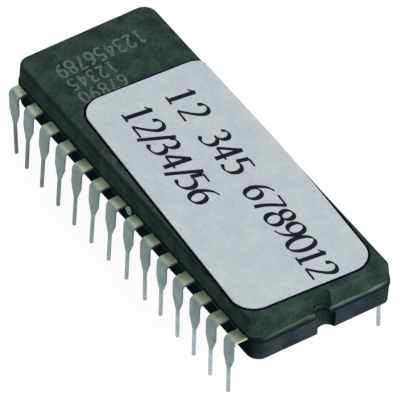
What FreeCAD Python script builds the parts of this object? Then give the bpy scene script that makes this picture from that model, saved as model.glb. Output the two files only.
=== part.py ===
# A 28-lead ceramic memory chip with an erase window, sealed with glass and covered by a paper label.
# +X runs along the body to the end with the half-round notch, +Y to the row of leads 1 to 14, +Z up.
# The origin is midway between the two rows of leads, on the plane that the lead tips stand on.
import FreeCAD, Part
import math
import os
import Sketcher

doc = FreeCAD.newDocument("eprom_chip")

# Driving sizes in millimetres, angles in degrees.
SIZES = (
    ("lead_pitch", 2.54, "centre to centre of neighbouring leads"),
    ("leads_per_row", 14, "leads along one side"),
    ("row_spacing", 15.24, "centre to centre of the two rows of blades, half way up the blades"),
    ("lead_thickness", 0.23, "sheet that the leads are stamped from"),
    ("shoulder_width", 1.30, "lead beside the body and down to the taper"),
    ("blade_width", 0.41, "part of the leg that enters a socket"),
    ("blade_length", 3.05, "from the tip up to the taper"),
    ("taper_length", 1.30, "from the blade up to the full width"),
    ("tip_bevel", 0.10, "corners taken off the blade's end"),
    ("bend_radius", 0.32, "inside of the bend from shoulder to leg"),
    ("leg_splay", 0.22, "tip of a leg further out than its top"),
    ("underside_height", 3.93, "tips up to the ceramic's underside"),
    ("base_thickness", 1.95, "lower ceramic half"),
    ("glass_thickness", 0.60, "seal between the halves"),
    ("cap_thickness", 1.75, "upper ceramic half"),
    ("end_margin", 1.60, "ceramic past the middle of a row's last lead, at the seal"),
    ("shoulder_reach", 1.04, "ceramic's wall at the seal, off centre as it is, to half the row spacing"),
    ("body_shift", 0.28, "ceramic's middle from the middle of the leads, towards +Y"),
    ("draft_angle", 4.0, "slope of the pressed walls"),
    ("corner_radius", 1.30, "upright corners of the ceramic"),
    ("tight_corner", 0.60, "the one upright corner by lead 1, less rounded than the others"),
    ("cap_edge_radius", 0.30, "rim of the top face"),
    ("base_edge_radius", 0.20, "rim of the underside"),
    ("notch_radius", 0.85, "half-round notch in the end of both halves"),
    ("seam_bulge", 0.08, "glass standing proud of the ceramic"),
    ("notch_glass", 0.14, "glass standing into the notch"),
    ("cavity_length", 9.00, "well for the die in the base"),
    ("cavity_width", 7.00, "well for the die in the base"),
    ("cavity_depth", 0.75, "well for the die in the base"),
    ("ledge_width", 0.90, "bare lead fingers round the well"),
    ("lid_recess", 0.55, "room over the wires in the cap"),
    ("window_diameter", 7.11, "erase window"),
    ("window_thickness", 1.00, "erase window"),
    ("window_bevel", 0.12, "rims of the window and of its hole"),
    ("die_length", 6.40, "silicon"),
    ("die_width", 4.40, "silicon"),
    ("die_thickness", 0.40, "silicon"),
    ("attach_thickness", 0.05, "layer that holds the die"),
    ("attach_margin", 0.25, "layer standing out past the die"),
    ("root_depth", 0.90, "full lead width inside the seal"),
    ("finger_tip_width", 0.45, "lead finger at the well"),
    ("tip_setback", 0.15, "finger tip from the well's wall"),
    ("side_tips", 3, "fingers of each quarter that end on the well's long wall"),
    ("side_tip_pitch", 1.40, "finger tips on the well's long wall"),
    ("end_tip_pitch", 0.85, "finger tips on the well's short wall"),
    ("wire_diameter", 0.05, "bond wire"),
    ("wire_rise", 0.22, "top of a wire's loop over its lead"),
    ("wire_foot", 0.12, "stretch of a wire pressed flat on the die or on a finger"),
    ("wire_reach", 0.30, "end of a wire from the finger's tip"),
    ("pad_inset", 0.20, "end of a wire from the die's rim"),
    ("label_length", 27.22, "paper label"),
    ("label_width", 12.20, "paper label"),
    ("label_thickness", 0.10, "paper label"),
    ("label_corner", 2.00, "paper label's corners"),
    ("label_turn", -3.1, "label's skew seen from above"),
    ("label_along", 3.26, "label's middle from the body's, along X"),
    ("label_across", 0.34, "label's middle from the body's, along Y"),
    ("label_fold", 0.80, "deepest reach of the label down the +Y side"),
    ("label_fold_end", 6.90, "where along X the label no longer folds over"),
    ("first_leg_gap", 0.02, "lead 1, pressed against the ceramic, from its wall"),
    ("first_leg_bend", 0.25, "inside of the bend of lead 1"),
    ("first_leg_knee", 0.90, "height in which lead 1 goes in under the ceramic"),
    ("first_leg_lean", 0.32, "lead 1 inwards from the knee's top to its tip"),
    ("last_leg_in", 0.18, "lead 15 pressed in, all the way down"),
    ("last_leg_lean", 0.60, "lead 15 pushed along its row at its tip"),
    ("middle_leg_lean", 0.27, "lead 23 pushed along its row at its tip"),
)
# Leads that handling has bent out of line, by number.
AGAINST_WALL = 1
PRESSED_IN = {15: "last_leg_in"}
LEANS_ALONG = {15: "last_leg_lean", 23: "middle_leg_lean"}
SHEET_NAME = "sizes"
sheet = doc.addObject("Spreadsheet::Sheet", SHEET_NAME)
for line_number, (alias, number, note) in enumerate(SIZES, start=1):
    sheet.set(f"A{line_number}", alias)
    sheet.set(f"B{line_number}", str(number))
    sheet.setAlias(f"B{line_number}", alias)
    sheet.set(f"C{line_number}", note)
doc.recompute()


class Size:
    """A number in millimetres together with the formula that gives it from the sheet."""

    def __init__(self, number, formula=None):
        self.number = float(number)
        self.formula = formula or f"({number})"

    def joined(self, other, sign, result):
        return Size(result, f"({self.formula} {sign} {other.formula})")

    def __add__(self, other):
        other = as_size(other)
        return self.joined(other, "+", self.number + other.number)

    def __sub__(self, other):
        other = as_size(other)
        return self.joined(other, "-", self.number - other.number)

    def __mul__(self, other):
        other = as_size(other)
        return self.joined(other, "*", self.number * other.number)

    def __truediv__(self, other):
        other = as_size(other)
        return self.joined(other, "/", self.number / other.number)

    def __neg__(self):
        return as_size(0) - self


def as_size(value):
    """Give plain numbers a formula of their own."""
    return value if isinstance(value, Size) else Size(value)


def size(alias):
    """The named cell of the sheet."""
    return Size(sheet.get(alias), f"<<{SHEET_NAME}>>.{alias}")


AXIS = Size(0)
UP = FreeCAD.Vector(0, 0, 1)
# How a sketch counts its own axes and origin, and the points of a line or an arc.
X_AXIS, Y_AXIS = -1, -2
ORIGIN = (X_AXIS, 1)
START, END, CENTRE = range(1, 4)
# Points nearer than this are one point.
SAME_PLACE = 0.001


def bind(thing, path, value):
    """Tie one property of a feature to the sheet."""
    thing.setExpression(path, as_size(value).formula)


def place(thing, x=AXIS, y=AXIS, z=AXIS):
    """Tie a piece's place to the sheet."""
    for name, value in (("x", x), ("y", y), ("z", z)):
        bind(thing, f"Placement.Base.{name}", value)


def new_body(label):
    """A body of its own for one piece."""
    body = doc.addObject("PartDesign::Body", label)
    body.Label = label
    return body


def origin_plane(body, role):
    """One of the body's own origin planes."""
    return next(feature for feature in body.Origin.OriginFeatures if feature.Role == role)


def new_sketch(body, name, plane, height=None):
    """A sketch on one of the body's origin planes, lifted along the plane's normal."""
    sketch = body.newObject("Sketcher::SketchObject", f"{body.Label}_{name}")
    sketch.AttachmentSupport = (origin_plane(body, plane), "")
    sketch.MapMode = "FlatFace"
    if height is not None:
        bind(sketch, "AttachmentOffset.Base.z", height)
    return sketch


def fix_point(sketch, geometry, end, x, y):
    """Hold one point of a sketch at x, y from its origin."""
    if x is AXIS:
        sketch.addConstraint(Sketcher.Constraint("PointOnObject", geometry, end, Y_AXIS))
    else:
        index = sketch.addConstraint(Sketcher.Constraint("DistanceX", *ORIGIN, geometry, end, x.number))
        bind(sketch, f"Constraints[{index}]", x)
    if y is AXIS:
        sketch.addConstraint(Sketcher.Constraint("PointOnObject", geometry, end, X_AXIS))
    else:
        index = sketch.addConstraint(Sketcher.Constraint("DistanceY", *ORIGIN, geometry, end, y.number))
        bind(sketch, f"Constraints[{index}]", y)


def flat(x, y):
    """A sketch point as a vector in the sketch's plane."""
    return FreeCAD.Vector(as_size(x).number, as_size(y).number, 0)


def draw_outline(sketch, corners):
    """A closed outline through corners (x, y), or (x, y, radius, centre) after an arc to that corner.

    The arc's centre is (x, y). Every corner is held by its own distances, and an arc by its radius.
    """
    count = len(corners)
    pieces = []
    for number, corner in enumerate(corners):
        start = flat(*corners[number - 1][:2])
        finish = flat(*corner[:2])
        if len(corner) == 2:
            index = sketch.addGeometry(Part.LineSegment(start, finish))
            pieces.append((index, START, END))
            continue
        radius, centre = corner[2:]
        middle = flat(*centre)
        outwards = (start - middle).normalize() + (finish - middle).normalize()
        on_arc = middle + outwards.normalize() * radius.number
        arc = Part.Arc(start, on_arc, finish)
        index = sketch.addGeometry(arc)
        begins_here = sketch.Geometry[index].StartPoint.distanceToPoint(start) < SAME_PLACE
        pieces.append((index, START, END) if begins_here else (index, END, START))
        held = sketch.addConstraint(Sketcher.Constraint("Radius", index, radius.number))
        bind(sketch, f"Constraints[{held}]", radius)
    for number, (index, _, end) in enumerate(pieces):
        follower, begin, _ = pieces[(number + 1) % count]
        sketch.addConstraint(Sketcher.Constraint("Coincident", index, end, follower, begin))
        fix_point(sketch, index, end, *corners[number][:2])


def draw_rectangle(sketch, length, width):
    """A rectangle about the sketch's origin."""
    x = length / 2
    y = width / 2
    draw_outline(sketch, [(x, y), (-x, y), (-x, -y), (x, -y)])


def draw_rounded_rectangle(sketch, length, width, radius, first_radius=None):
    """A rectangle about the sketch's origin with round corners, drawn anticlockwise.

    The corner between +X and +Y may have a radius of its own.
    """
    x = length / 2
    y = width / 2
    inner_x = x - radius
    inner_y = y - radius
    first = first_radius or radius
    first_x = x - first
    first_y = y - first
    draw_outline(sketch, [
        (x, first_y), (first_x, y, first, (first_x, first_y)),
        (-inner_x, y), (-x, inner_y, radius, (-inner_x, inner_y)),
        (-x, -inner_y), (-inner_x, -y, radius, (-inner_x, -inner_y)),
        (inner_x, -y), (x, -inner_y, radius, (inner_x, -inner_y)),
    ])


def draw_circle(sketch, x, radius):
    """A circle with its centre on the sketch's own X axis."""
    middle = flat(x, AXIS)
    index = sketch.addGeometry(Part.Circle(middle, FreeCAD.Vector(0, 0, 1), radius.number))
    fix_point(sketch, index, CENTRE, x, AXIS)
    held = sketch.addConstraint(Sketcher.Constraint("Radius", index, radius.number))
    bind(sketch, f"Constraints[{held}]", radius)


def pad(body, sketch, depth, name, reverse=False, symmetric=False):
    """Add material over a sketch."""
    feature = body.newObject("PartDesign::Pad", f"{body.Label}_{name}")
    feature.Profile = sketch
    feature.Reversed = reverse
    feature.SideType = "Symmetric" if symmetric else "One side"
    bind(feature, "Length", depth)
    return feature


def pocket(body, sketch, name, depth=None, reverse=False):
    """Cut a sketch to a depth, or through everything both ways."""
    feature = body.newObject("PartDesign::Pocket", f"{body.Label}_{name}")
    feature.Profile = sketch
    feature.Reversed = reverse
    if depth is None:
        feature.SideType = "Symmetric"
        feature.Type = "ThroughAll"
    else:
        bind(feature, "Length", depth)
    return feature


def edge_names(feature, wanted):
    """Names of the feature's edges for which wanted(edge) is true."""
    return [f"Edge{number}" for number, edge in enumerate(feature.Shape.Edges, start=1) if wanted(edge)]


def face_names(feature, wanted):
    """Names of the feature's faces for which wanted(face) is true."""
    return [f"Face{number}" for number, face in enumerate(feature.Shape.Faces, start=1) if wanted(face)]


def fillet(body, feature, wanted, radius, name):
    """Round the wanted edges of the body's last feature."""
    doc.recompute()
    rounded = body.newObject("PartDesign::Fillet", f"{body.Label}_{name}")
    rounded.Base = (feature, edge_names(feature, wanted))
    bind(rounded, "Radius", radius)
    return rounded


def chamfer(body, feature, wanted, width, name):
    """Bevel the wanted edges of the body's last feature."""
    doc.recompute()
    bevelled = body.newObject("PartDesign::Chamfer", f"{body.Label}_{name}")
    bevelled.Base = (feature, edge_names(feature, wanted))
    bind(bevelled, "Size", width)
    return bevelled


def slope_walls(body, feature, angle, upwards):
    """Lean the feature's upright walls inwards from the body's XY plane, as a press tool needs."""
    doc.recompute()
    sloped = body.newObject("PartDesign::Draft", f"{body.Label}_sloped")
    sloped.Base = (feature, face_names(feature, is_upright))
    sloped.NeutralPlane = (origin_plane(body, "XY_Plane"), [""])
    sloped.Reversed = not upwards
    bind(sloped, "Angle", angle)
    return sloped


def is_upright(piece):
    """An edge or a face that reaches from one level to another."""
    heights = [vertex.Point.z for vertex in piece.Vertexes]
    return max(heights) - min(heights) > SAME_PLACE


def lies_at(level):
    """A test for edges that lie wholly at one height in the body's own frame."""
    def wanted(edge):
        box = edge.BoundBox
        return abs(box.ZMin - level.number) < SAME_PLACE and abs(box.ZMax - level.number) < SAME_PLACE
    return wanted


# Sizes and levels that several pieces share.
BODY_LENGTH = size("lead_pitch") * (size("leads_per_row") - 1) + size("end_margin") * 2
BODY_WIDTH = size("row_spacing") - size("shoulder_reach") * 2
SEAL_BOTTOM = size("underside_height") + size("base_thickness")
SEAL_TOP = SEAL_BOTTOM + size("glass_thickness")
LEAD_LEVEL = SEAL_BOTTOM + size("glass_thickness") / 2
HALF_LEAD = size("lead_thickness") / 2
SHIFT = size("body_shift")
OPEN_LENGTH = size("cavity_length") + size("ledge_width") * 2
OPEN_WIDTH = size("cavity_width") + size("ledge_width") * 2


def draw_body_outline(sketch, margin):
    """The ceramic's plan at the seal, widened all round by the margin."""
    length = BODY_LENGTH + margin * 2
    width = BODY_WIDTH + margin * 2
    draw_rounded_rectangle(sketch, length, width, size("corner_radius") + margin, size("tight_corner") + margin)


def pressed_slab(body, thickness, upwards, margin, rim):
    """A slab with sloping walls, round corners and a round rim, its widest face on the XY plane.

    Margin widens it all round, which gives the skin that a label on it follows.
    """
    outline = new_sketch(body, "outline", "XY_Plane")
    draw_body_outline(outline, margin)
    slab = pad(body, outline, thickness, "slab", reverse=not upwards)
    sloped = slope_walls(body, slab, size("draft_angle"), upwards)
    far_level = thickness if upwards else -thickness
    return fillet(body, sloped, lies_at(far_level), rim, "rim")


def cut_notch(body, radius):
    """The half-round notch in the +X end."""
    outline = new_sketch(body, "notch_outline", "XY_Plane")
    draw_circle(outline, BODY_LENGTH / 2, radius)
    return pocket(body, outline, "notch")


def make_base():
    """Lower ceramic half: pressed slab with the well for the die and half of the notch."""
    body = new_body("ceramic_base")
    place(body, y=SHIFT, z=SEAL_BOTTOM)
    pressed_slab(body, size("base_thickness"), False, AXIS, size("base_edge_radius"))
    well = new_sketch(body, "well_outline", "XY_Plane")
    draw_rectangle(well, size("cavity_length"), size("cavity_width"))
    pocket(body, well, "well", size("cavity_depth"))
    cut_notch(body, size("notch_radius"))
    return body


def make_cap():
    """Upper ceramic half: pressed slab with the recess over the wires and the window's hole."""
    body = new_body("ceramic_cap")
    place(body, y=SHIFT, z=SEAL_TOP)
    thickness = size("cap_thickness")
    pressed_slab(body, thickness, True, AXIS, size("cap_edge_radius"))
    recess = new_sketch(body, "recess_outline", "XY_Plane")
    draw_rectangle(recess, OPEN_LENGTH, OPEN_WIDTH)
    pocket(body, recess, "recess", size("lid_recess"), reverse=True)
    hole = new_sketch(body, "hole_outline", "XY_Plane")
    draw_circle(hole, AXIS, size("window_diameter") / 2)
    pocket(body, hole, "hole")
    notch = cut_notch(body, size("notch_radius"))
    radius = size("window_diameter").number / 2

    def is_hole_rim(edge):
        if not isinstance(edge.Curve, Part.Circle):
            return False
        return abs(edge.Curve.Radius - radius) < SAME_PLACE and lies_at(thickness)(edge)

    chamfer(body, notch, is_hole_rim, size("window_bevel"), "hole_rim")
    return body


def make_window():
    """Erase window: a flat glass disc with bevelled rims, fused into the cap's hole."""
    body = new_body("window")
    web = size("cap_thickness") - size("lid_recess")
    thickness = size("window_thickness")
    bevel = size("window_bevel")
    rest = SEAL_TOP + size("lid_recess") + (web - thickness) / 2 - bevel / 2
    place(body, y=SHIFT, z=rest)
    radius = size("window_diameter") / 2
    profile = new_sketch(body, "profile", "XZ_Plane")
    draw_outline(profile, [
        (AXIS, AXIS),
        (radius - bevel, AXIS),
        (radius, bevel),
        (radius, thickness - bevel),
        (radius - bevel, thickness),
        (AXIS, thickness),
    ])
    disc = body.newObject("PartDesign::Revolution", "window_disc")
    disc.Profile = profile
    disc.ReferenceAxis = (profile, ["V_Axis"])
    disc.Angle = 360
    return body


def make_die():
    """Silicon die and the layer that holds it on the floor of the well."""
    floor = SEAL_BOTTOM - size("cavity_depth")
    attach = doc.addObject("Part::Box", "die_attach")
    attach_length = size("die_length") + size("attach_margin") * 2
    attach_width = size("die_width") + size("attach_margin") * 2
    die = doc.addObject("Part::Box", "die")
    for piece, length, width, height, level in (
        (attach, attach_length, attach_width, size("attach_thickness"), floor),
        (die, size("die_length"), size("die_width"), size("die_thickness"), floor + size("attach_thickness")),
    ):
        bind(piece, "Length", length)
        bind(piece, "Width", width)
        bind(piece, "Height", height)
        place(piece, -length / 2, SHIFT - width / 2, level)
    return [attach, die]


def make_glass(leads):
    """Glass seal: a frame between the halves, stepped down round the well, with the leads set in it."""
    blank = new_body("glass_blank")
    place(blank, y=SHIFT, z=SEAL_BOTTOM)
    bulge = size("seam_bulge")
    thickness = size("glass_thickness")
    outline = new_sketch(blank, "outline", "XY_Plane")
    draw_body_outline(outline, bulge)
    frame = pad(blank, outline, thickness, "frame")

    def is_rim(edge):
        return not is_upright(edge)

    chamfer(blank, frame, is_rim, bulge, "bead")
    well = new_sketch(blank, "well_outline", "XY_Plane")
    draw_rectangle(well, size("cavity_length"), size("cavity_width"))
    pocket(blank, well, "well")
    step = new_sketch(blank, "step_outline", "XY_Plane", thickness)
    draw_rectangle(step, OPEN_LENGTH, OPEN_WIDTH)
    pocket(blank, step, "step", thickness / 2)
    cut_notch(blank, size("notch_radius") - size("notch_glass"))
    together = doc.addObject("Part::Compound", "leads_together")
    together.Links = leads
    glass = doc.addObject("Part::Cut", "seal_glass")
    glass.Base = blank
    glass.Tool = together
    return glass


class Lead:
    """Where one lead stands and where its finger ends, in the middle of the part's own frame.

    Leads 1 to 14 run along the +Y row away from the notch, leads 15 to 28 come back along the -Y row.
    Each quarter's nearest fingers end on the long wall of the well and the others on its short wall.
    """

    def __init__(self, number):
        per_row = int(size("leads_per_row").number)
        middle = (per_row - 1) / 2
        if number <= per_row:
            self.row = 1
            steps = middle - (number - 1)
        else:
            self.row = -1
            steps = number - 1 - per_row - middle
        self.number = number
        self.x = size("lead_pitch") * steps
        self.edge = BODY_WIDTH / 2 + SHIFT * self.row
        along = (steps > 0) - (steps < 0)
        rank = int(abs(steps))
        side_tips = int(size("side_tips").number)
        self.ends_on_side = rank < side_tips
        if self.ends_on_side:
            share = size("side_tip_pitch") * ((rank + 0.5) * along)
            self.tip_x = share
            self.tip_y = size("cavity_width") / 2 + size("tip_setback")
        else:
            outermost = (per_row + 1) // 2 - 1
            self.tip_x = (size("cavity_length") / 2 + size("tip_setback")) * along
            self.tip_y = size("end_tip_pitch") * (outermost - rank + 0.5)
        self.lean_along = size(LEANS_ALONG[number]) if number in LEANS_ALONG else AXIS
        self.bend = size("first_leg_bend") if number == AGAINST_WALL else size("bend_radius")
        self.leg_top = LEAD_LEVEL - HALF_LEAD - self.bend

    def leg_line(self):
        """The middle of the leg seen from the row's end, from the bend to the tip: distance out, height."""
        if self.number == AGAINST_WALL:
            out = self.edge + size("first_leg_gap") + HALF_LEAD
            tip = out - size("first_leg_lean")
            knee = size("underside_height")
            return [(out, self.leg_top), (out, knee), (tip, knee - size("first_leg_knee")), (tip, AXIS)]
        share = size("blade_length") / 2 / self.leg_top
        out = size("row_spacing") / 2 - size("leg_splay") * (as_size(1) - share)
        tip = size("row_spacing") / 2 + size("leg_splay") * share
        if self.number in PRESSED_IN:
            out = out - size(PRESSED_IN[self.number])
            tip = tip - size(PRESSED_IN[self.number])
        return [(out, self.leg_top), (tip, AXIS)]


def draw_bent_strip(sketch, lead):
    """Side view of a lead: flat through the seal, round the bend and down the leg to the floor."""
    line = lead.leg_line()
    outer_radius = lead.bend + size("lead_thickness")
    top = LEAD_LEVEL + HALF_LEAD
    bottom = LEAD_LEVEL - HALF_LEAD
    root = size("root_depth") - lead.edge
    outer = [(-(out + HALF_LEAD), height) for out, height in line]
    inner = [(-(out - HALF_LEAD), height) for out, height in line]
    centre = (inner[0][0] + lead.bend, lead.leg_top)
    draw_outline(sketch, [
        (root, top),
        (centre[0], top),
        (*outer[0], outer_radius, centre),
        *outer[1:],
        *reversed(inner),
        (centre[0], bottom, lead.bend, centre),
        (root, bottom),
    ])


def draw_trimmings(sketch, lead):
    """Front view of what is cut off both sides of the strip: beside the shoulder, taper and blade."""
    wide = size("shoulder_width") / 2
    narrow = size("blade_width") / 2
    bevel = size("tip_bevel")
    blade_top = size("blade_length")
    taper_top = blade_top + size("taper_length")
    leg_top = lead.leg_top
    above = LEAD_LEVEL + size("glass_thickness")
    below = -size("glass_thickness")
    outside = size("lead_pitch")

    def leaning(height):
        return lead.lean_along * ((leg_top - height) / leg_top)

    for side in (1, -1):
        draw_outline(sketch, [
            (wide * side, above),
            (wide * side, leg_top),
            (wide * side + leaning(taper_top), taper_top),
            (narrow * side + leaning(blade_top), blade_top),
            (narrow * side + leaning(bevel), bevel),
            ((narrow - bevel) * side + lead.lean_along, AXIS),
            ((narrow - bevel) * side + lead.lean_along, below),
            (outside * side, below),
            (outside * side, above),
        ])


def draw_finger(sketch, lead):
    """Plan of a lead's inner finger, from its full width in the seal to its tip at the well."""
    wide = size("shoulder_width") / 2
    narrow = size("finger_tip_width") / 2
    root = size("root_depth") - lead.edge
    overlap = root - size("lead_thickness")
    tip_x = (lead.tip_x - lead.x) * -lead.row
    tip_y = SHIFT * -lead.row - lead.tip_y
    if lead.ends_on_side:
        tip = [(tip_x + narrow, tip_y), (tip_x - narrow, tip_y)]
    elif tip_x.number < 0:
        tip = [(tip_x, tip_y + narrow), (tip_x, tip_y - narrow)]
    else:
        tip = [(tip_x, tip_y - narrow), (tip_x, tip_y + narrow)]
    draw_outline(sketch, [(-wide, overlap), (wide, overlap), (wide, root)] + tip + [(-wide, root)])


def make_lead(number):
    """One lead: a strip bent down, trimmed to shoulder, taper and blade, with its finger inside the seal.

    Its own frame has the leg on the -Y side, and the +Y row is the same turned half round.
    """
    lead = Lead(number)
    body = new_body(f"lead_{number:02d}")
    place(body, x=lead.x)
    if lead.row > 0:
        body.Placement.Rotation = FreeCAD.Rotation(UP, 180)
    side_view = new_sketch(body, "side_view", "YZ_Plane")
    draw_bent_strip(side_view, lead)
    pad(body, side_view, size("shoulder_width") + size("lead_pitch") / 2, "strip", symmetric=True)
    front_view = new_sketch(body, "front_view", "XZ_Plane")
    draw_trimmings(front_view, lead)
    pocket(body, front_view, "trimmings")
    plan = new_sketch(body, "plan", "XY_Plane", LEAD_LEVEL)
    draw_finger(plan, lead)
    pad(body, plan, size("lead_thickness"), "finger", symmetric=True)
    return body


def bond_wire(die_end, lead_end):
    """A drawn wire, six-sided in section, from a flat foot on the die over two bends to one on a lead.

    It stays in the upright plane through its ends. At each bend the section lies in the mitre plane,
    and is stretched there so that the sides of both runs meet.
    """
    half = size("wire_diameter").number / 2
    foot = size("wire_foot").number
    flat_line = FreeCAD.Vector(lead_end.x - die_end.x, lead_end.y - die_end.y, 0)
    span = flat_line.Length
    onwards = flat_line.normalize()
    across = onwards.cross(UP)
    crown = lead_end.z - die_end.z + size("wire_rise").number
    third = (span - foot * 2) / 3
    stations = [(0, 0), (foot, 0), (foot + third, crown), (foot + third * 2, crown)]
    stations += [(span - foot, lead_end.z - die_end.z), (span, lead_end.z - die_end.z)]
    slopes = [math.atan2(b[1] - a[1], b[0] - a[0]) for a, b in zip(stations, stations[1:])]
    slopes = [slopes[0]] + slopes + [slopes[-1]]
    sections = []
    for (along, height), before, after in zip(stations, slopes, slopes[1:]):
        centre = die_end + onwards * along + UP * (height + half)
        mitre = (before + after) / 2
        stretch = 1 / math.cos((after - before) / 2)
        upwards = (UP * math.cos(mitre) - onwards * math.sin(mitre)) * stretch
        sixths = [math.radians(60 * step) for step in range(6)]
        reach = half / math.cos(math.radians(30))
        ring = [centre + across * (reach * math.cos(turn)) + upwards * (reach * math.sin(turn)) for turn in sixths]
        sections.append(Part.makePolygon(ring + ring[:1]))
    return Part.makeLoft(sections, True, True)


def make_bond_wires():
    """One wire from the die's rim to each finger, a low arch with a flat foot at both ends."""
    die_level = (SEAL_BOTTOM - size("cavity_depth") + size("attach_thickness") + size("die_thickness")).number
    lead_level = (LEAD_LEVEL + HALF_LEAD).number
    shift = SHIFT.number
    pad_x = (size("die_length") / 2 - size("pad_inset")).number
    pad_y = (size("die_width") / 2 - size("pad_inset")).number
    crowding = (size("die_length") / OPEN_LENGTH).number
    wires = []
    for number in range(1, 2 * int(size("leads_per_row").number) + 1):
        lead = Lead(number)
        tip = FreeCAD.Vector(lead.tip_x.number, lead.tip_y.number * lead.row + shift, 0)
        root = FreeCAD.Vector(lead.x.number, (lead.edge - size("root_depth")).number * lead.row, 0)
        lead_end = tip + (root - tip).normalize() * size("wire_reach").number
        if lead.ends_on_side:
            die_end = FreeCAD.Vector(tip.x * crowding, pad_y * lead.row + shift, 0)
        else:
            die_end = FreeCAD.Vector(math.copysign(pad_x, tip.x), (tip.y - shift) * crowding + shift, 0)
        die_end.z = die_level
        lead_end.z = lead_level
        wires.append(bond_wire(die_end, lead_end))
    feature = doc.addObject("Part::Feature", "bond_wires")
    feature.Shape = Part.makeCompound(wires)
    return feature


def make_label():
    """Paper label: a skin over the cap's own form, cut to a skewed rectangle that folds over one edge."""
    form = new_body("cap_form")
    place(form, y=SHIFT, z=SEAL_TOP)
    rim = size("cap_edge_radius")
    pressed_slab(form, size("cap_thickness"), True, AXIS, rim)
    body = new_body("label_blank")
    place(body, y=SHIFT, z=SEAL_TOP)
    paper = size("label_thickness")
    top = size("cap_thickness") + paper
    pressed_slab(body, top, True, paper, rim + paper)
    outline = new_sketch(body, "outline_on_top", "XY_Plane")
    outline.AttachmentOffset.Rotation = FreeCAD.Rotation(UP, 1)
    bind(outline, "AttachmentOffset.Base.x", size("label_along"))
    bind(outline, "AttachmentOffset.Base.y", size("label_across"))
    bind(outline, "AttachmentOffset.Rotation.Angle", size("label_turn"))
    length = size("label_length")
    width = size("label_width")
    draw_rounded_rectangle(outline, length, width, size("label_corner"))
    draw_rectangle(outline, length + BODY_LENGTH, width + BODY_WIDTH)
    pocket(body, outline, "offcut")
    fold = new_sketch(body, "fold_line", "XZ_Plane")
    reach = BODY_LENGTH
    rim_level = top - rim
    fold_level = top - size("label_fold")
    far_end = size("label_along") - length / 2
    draw_outline(fold, [
        (-reach, -paper), (reach, -paper), (reach, rim_level), (size("label_fold_end"), rim_level),
        (far_end, fold_level), (-reach, fold_level),
    ])
    pocket(body, fold, "below_fold")
    label = doc.addObject("Part::Cut", "label")
    label.Base = body
    label.Tool = form
    return label


def check(document):
    """Stop where any feature failed to build."""
    for thing in document.Objects:
        if "Invalid" in thing.State or "Error" in thing.State:
            raise RuntimeError(f"{thing.Label} did not build: {thing.State}")


def write_step(pieces):
    """Write each piece to a file under its own name."""
    os.makedirs("parts", exist_ok=True)
    for piece in pieces:
        if piece.Shape.isNull() or not piece.Shape.isValid():
            raise RuntimeError(f"{piece.Label} has no valid shape")
        piece.Shape.exportStep(f"parts/{piece.Label}.step")
        box = piece.Shape.BoundBox
        print(f"{piece.Label}: {piece.Shape.Volume:.3f} mm3, {len(piece.Shape.Solids)} solids,"
              f" z {box.ZMin:.2f} to {box.ZMax:.2f}")


leads = [make_lead(number) for number in range(1, 2 * int(size("leads_per_row").number) + 1)]
pieces = [make_base(), make_cap(), make_glass(leads), make_window()]
pieces += make_die()
pieces += [make_bond_wires(), make_label()]
pieces += leads
doc.recompute()
check(doc)
write_step(pieces)
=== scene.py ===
"""Looks of a windowed ceramic memory chip with a paper label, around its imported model.

+X runs to the notched end, +Y to the row of leads 1 to 14, +Z up, with the lead tips on the floor.
Shapes are worked out in millimetres as whole arrays and put into meshes in metres.
"""
import math

import bpy
import numpy as np
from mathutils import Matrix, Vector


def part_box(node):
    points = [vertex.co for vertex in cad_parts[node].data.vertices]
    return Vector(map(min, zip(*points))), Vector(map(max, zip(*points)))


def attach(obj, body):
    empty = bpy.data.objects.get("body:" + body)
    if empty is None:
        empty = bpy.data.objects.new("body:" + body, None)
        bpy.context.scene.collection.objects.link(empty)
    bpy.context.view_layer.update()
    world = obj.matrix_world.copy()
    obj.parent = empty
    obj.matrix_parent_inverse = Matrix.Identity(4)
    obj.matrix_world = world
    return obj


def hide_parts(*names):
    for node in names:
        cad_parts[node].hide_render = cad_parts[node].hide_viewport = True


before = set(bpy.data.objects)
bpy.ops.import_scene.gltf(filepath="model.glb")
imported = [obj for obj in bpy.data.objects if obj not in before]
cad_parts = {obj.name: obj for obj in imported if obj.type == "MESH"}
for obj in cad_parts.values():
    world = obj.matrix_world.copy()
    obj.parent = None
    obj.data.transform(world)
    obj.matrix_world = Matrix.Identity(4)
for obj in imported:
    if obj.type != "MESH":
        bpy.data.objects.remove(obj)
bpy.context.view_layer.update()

MM = 0.001
BODY = "root"
X, Y, Z = range(3)
QUARTER = math.pi / 2


def span(node, axis):
    """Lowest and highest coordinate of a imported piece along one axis, in millimetres."""
    low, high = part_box(node)
    return low[axis] / MM, high[axis] / MM


# Levels and half sizes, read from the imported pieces, in millimetres.
BASE_BOTTOM, BASE_TOP = span("ceramic_base", Z)
CAP_BOTTOM, CAP_TOP = span("ceramic_cap", Z)
HALF_LENGTH = span("ceramic_cap", X)[1]
HALF_WIDTH = (span("ceramic_cap", Y)[1] - span("ceramic_cap", Y)[0]) / 2
BODY_SHIFT = sum(span("ceramic_cap", Y)) / 2
LEAD_LEVEL = (BASE_TOP + CAP_BOTTOM) / 2
LEAD_THICKNESS = (span("lead_07", Z)[1] - LEAD_LEVEL) * 2
PAPER = span("label", Z)[1] - CAP_TOP

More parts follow.
